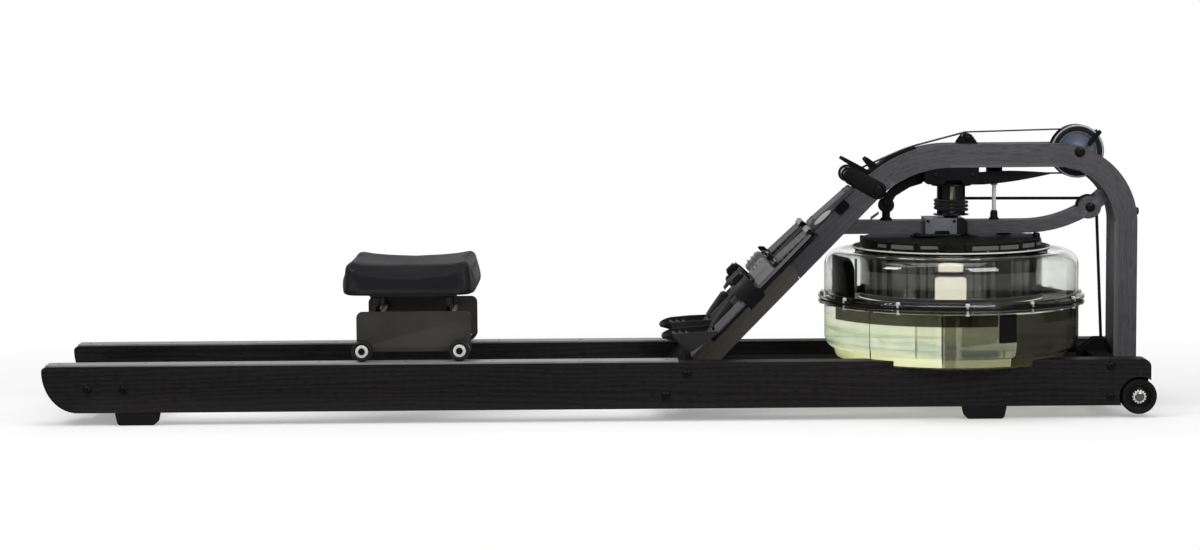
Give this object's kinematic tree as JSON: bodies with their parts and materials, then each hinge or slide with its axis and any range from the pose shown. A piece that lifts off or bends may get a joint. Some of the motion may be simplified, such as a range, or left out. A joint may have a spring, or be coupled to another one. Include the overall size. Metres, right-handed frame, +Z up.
{
  "type": "rowing machine",
  "caption": "Wooden water rowing machine: sliding seat on twin rails, foot rests on a bent arch, and a round tank whose paddle a strap drives.",
  "frame": {"origin": "on the floor, below the middle of the whole machine", "axes": "+X from the seat to the tank, along the rails; +Z up; +Y to the far side"},
  "size_m": [2.12, 0.518, 0.551],
  "materials": {
    "rail_wood": "black stained open-grained hardwood, satin",
    "arch_wood": "charcoal stained laminated hardwood, satin",
    "track": "smooth dark running strip",
    "rubber": "moulded, matt",
    "black_plastic": "fine spark-eroded texture",
    "grey_plastic": "smooth",
    "foot_plastic": "fine texture, satin",
    "grey_metal": "painted casting",
    "dark_steel": "black powder coat",
    "bright_steel": "ground",
    "chrome": "polished",
    "pulley_disc": "smoked, glossy",
    "wheel_tyre": "smooth rubber with a metal hub",
    "seat_wheel": "hard polyurethane with a bright bearing",
    "webbing": "tight woven polyester",
    "cord": "braided sleeve over rubber",
    "tank_clear": "clear polycarbonate with a smoky cast",
    "tank_dark": "smoked polycarbonate",
    "water": "clear, pale green",
    "grip": "ribbed foam",
    "seat_skin": "moulded soft skin, fine grain, satin"
  },
  "bodies": {
    "root": {"rail_near": "rail_wood", "rail_far": "rail_wood", "track_near": "track", "track_far": "track", "pad_rear_near": "rubber", "pad_rear_far": "rubber", "pad_front_near": "rubber", "pad_front_far": "rubber", "rear_crossmember": "rail_wood", "foot_crossmember": "rail_wood", "front_crossmember": "rail_wood", "centre_bearer": "rail_wood", "arch_beam": "arch_wood", "shaft_arm": "arch_wood", "arch_foot": "arch_wood", "top_pulley_pin": "dark_steel", "arm_pulley_pin": "dark_steel", "guide_bracket": "black_plastic", "low_pulley_bracket": "black_plastic", "spool_cage": "black_plastic", "brace_post": "black_plastic", "handle_rest": "black_plastic", "strap_free": "webbing", "strap_run": "webbing", "foot_strap_near": "webbing", "foot_strap_far": "webbing", "cord_run": "cord", "bearing_block": "grey_metal", "stay": "chrome", "tank_bowl": "tank_clear", "tank_dome": "tank_clear", "tank_lid": "tank_dark", "tank_gasket": "rubber", "water": "water", "foot_base": "foot_plastic", "foot_plate_near": "foot_plastic", "foot_plate_far": "foot_plastic"},
    "seat": {"seat_pad": "seat_skin", "seat_frame": "dark_steel", "seat_chassis": "dark_steel"},
    "seat_wheel_rear_near": {"seat_wheel_rear_near": "seat_wheel"},
    "seat_wheel_rear_far": {"seat_wheel_rear_far": "seat_wheel"},
    "seat_wheel_front_near": {"seat_wheel_front_near": "seat_wheel"},
    "seat_wheel_front_far": {"seat_wheel_front_far": "seat_wheel"},
    "transport_wheel_near": {"transport_wheel_near": "wheel_tyre"},
    "transport_wheel_far": {"transport_wheel_far": "wheel_tyre"},
    "handle": {"handle_bar": "dark_steel", "handle_grip_near": "grip", "handle_grip_far": "grip"},
    "guide_roller": {"guide_roller": "black_plastic"},
    "top_pulley": {"top_pulley": "pulley_disc"},
    "arm_pulley": {"arm_pulley": "black_plastic"},
    "low_pulley": {"low_pulley": "black_plastic"},
    "spool": {"spool": "black_plastic", "strap_coil": "webbing", "cord_coil": "cord"},
    "paddle": {"shaft": "bright_steel", "impeller": "grey_plastic"},
    "heel_rest_near": {"heel_rest_near": "black_plastic"},
    "heel_rest_far": {"heel_rest_far": "black_plastic"}
  },
  "joints": [
    {"name": "seat_slide", "type": "slide", "parent": "root", "child": "seat", "axis": [1, 0, 0], "range_m": [-0.55, 0.33]},
    {"name": "seat_wheel_rear_near_roll", "type": "hinge", "parent": "seat", "child": "seat_wheel_rear_near", "pos_m": [-0.452, -0.168, 0.1363], "axis": [0, 1, 0], "range_deg": [-1600, 1000]},
    {"name": "seat_wheel_rear_far_roll", "type": "hinge", "parent": "seat", "child": "seat_wheel_rear_far", "pos_m": [-0.452, 0.168, 0.1363], "axis": [0, 1, 0], "range_deg": [-1600, 1000]},
    {"name": "seat_wheel_front_near_roll", "type": "hinge", "parent": "seat", "child": "seat_wheel_front_near", "pos_m": [-0.266, -0.168, 0.1363], "axis": [0, 1, 0], "range_deg": [-1600, 1000]},
    {"name": "seat_wheel_front_far_roll", "type": "hinge", "parent": "seat", "child": "seat_wheel_front_far", "pos_m": [-0.266, 0.168, 0.1363], "axis": [0, 1, 0], "range_deg": [-1600, 1000]},
    {"name": "transport_wheel_near_roll", "type": "hinge", "parent": "root", "child": "transport_wheel_near", "pos_m": [1.026, -0.176, 0.04], "axis": [0, 1, 0], "continuous": true},
    {"name": "transport_wheel_far_roll", "type": "hinge", "parent": "root", "child": "transport_wheel_far", "pos_m": [1.026, 0.176, 0.04], "axis": [0, 1, 0], "continuous": true},
    {"name": "handle_pull", "type": "slide", "parent": "root", "child": "handle", "axis": [-0.955, 0, 0.2966], "range_m": [0, 0.95], "deforming": ["strap_free"]},
    {"name": "guide_roller_turn", "type": "hinge", "parent": "root", "child": "guide_roller", "pos_m": [0.719, 0, 0.527], "axis": [0, 1, 0], "range_deg": [-5400, 10]},
    {"name": "top_pulley_turn", "type": "hinge", "parent": "root", "child": "top_pulley", "pos_m": [0.934, 0, 0.499], "axis": [0, 1, 0], "range_deg": [-1300, 10]},
    {"name": "spool_turn", "type": "hinge", "parent": "root", "child": "spool", "pos_m": [0.69, 0, 0.42], "axis": [0, 0, 1], "range_deg": [-10, 1850]},
    {"name": "arm_pulley_turn", "type": "hinge", "parent": "root", "child": "arm_pulley", "pos_m": [0.958, 0, 0.39006], "axis": [0, 1, 0], "range_deg": [-2800, 10]},
    {"name": "low_pulley_turn", "type": "hinge", "parent": "root", "child": "low_pulley", "pos_m": [0.971, 0, 0.084], "axis": [0, 1, 0], "range_deg": [-1950, 10]},
    {"name": "paddle_turn", "type": "hinge", "parent": "root", "child": "paddle", "pos_m": [0.69, 0, 0.15], "axis": [0, 0, 1], "continuous": true},
    {"name": "heel_rest_near_slide", "type": "slide", "parent": "root", "child": "heel_rest_near", "axis": [0.7009, 0, 0.7133], "range_m": [0, 0.06]},
    {"name": "heel_rest_far_slide", "type": "slide", "parent": "root", "child": "heel_rest_far", "axis": [0.7009, 0, 0.7133], "range_m": [0, 0.06]}
  ],
  "couplings": [
    {"joint": "seat_wheel_rear_near_roll", "follows": "seat_slide", "rad_per_m": 50},
    {"joint": "seat_wheel_rear_far_roll", "follows": "seat_slide", "rad_per_m": 50},
    {"joint": "seat_wheel_front_near_roll", "follows": "seat_slide", "rad_per_m": 50},
    {"joint": "seat_wheel_front_far_roll", "follows": "seat_slide", "rad_per_m": 50},
    {"joint": "guide_roller_turn", "follows": "handle_pull", "rad_per_m": -97},
    {"joint": "top_pulley_turn", "follows": "handle_pull", "rad_per_m": -23.1},
    {"joint": "spool_turn", "follows": "handle_pull", "rad_per_m": 33.3},
    {"joint": "arm_pulley_turn", "follows": "handle_pull", "rad_per_m": -51},
    {"joint": "low_pulley_turn", "follows": "handle_pull", "rad_per_m": -35}
  ]
}
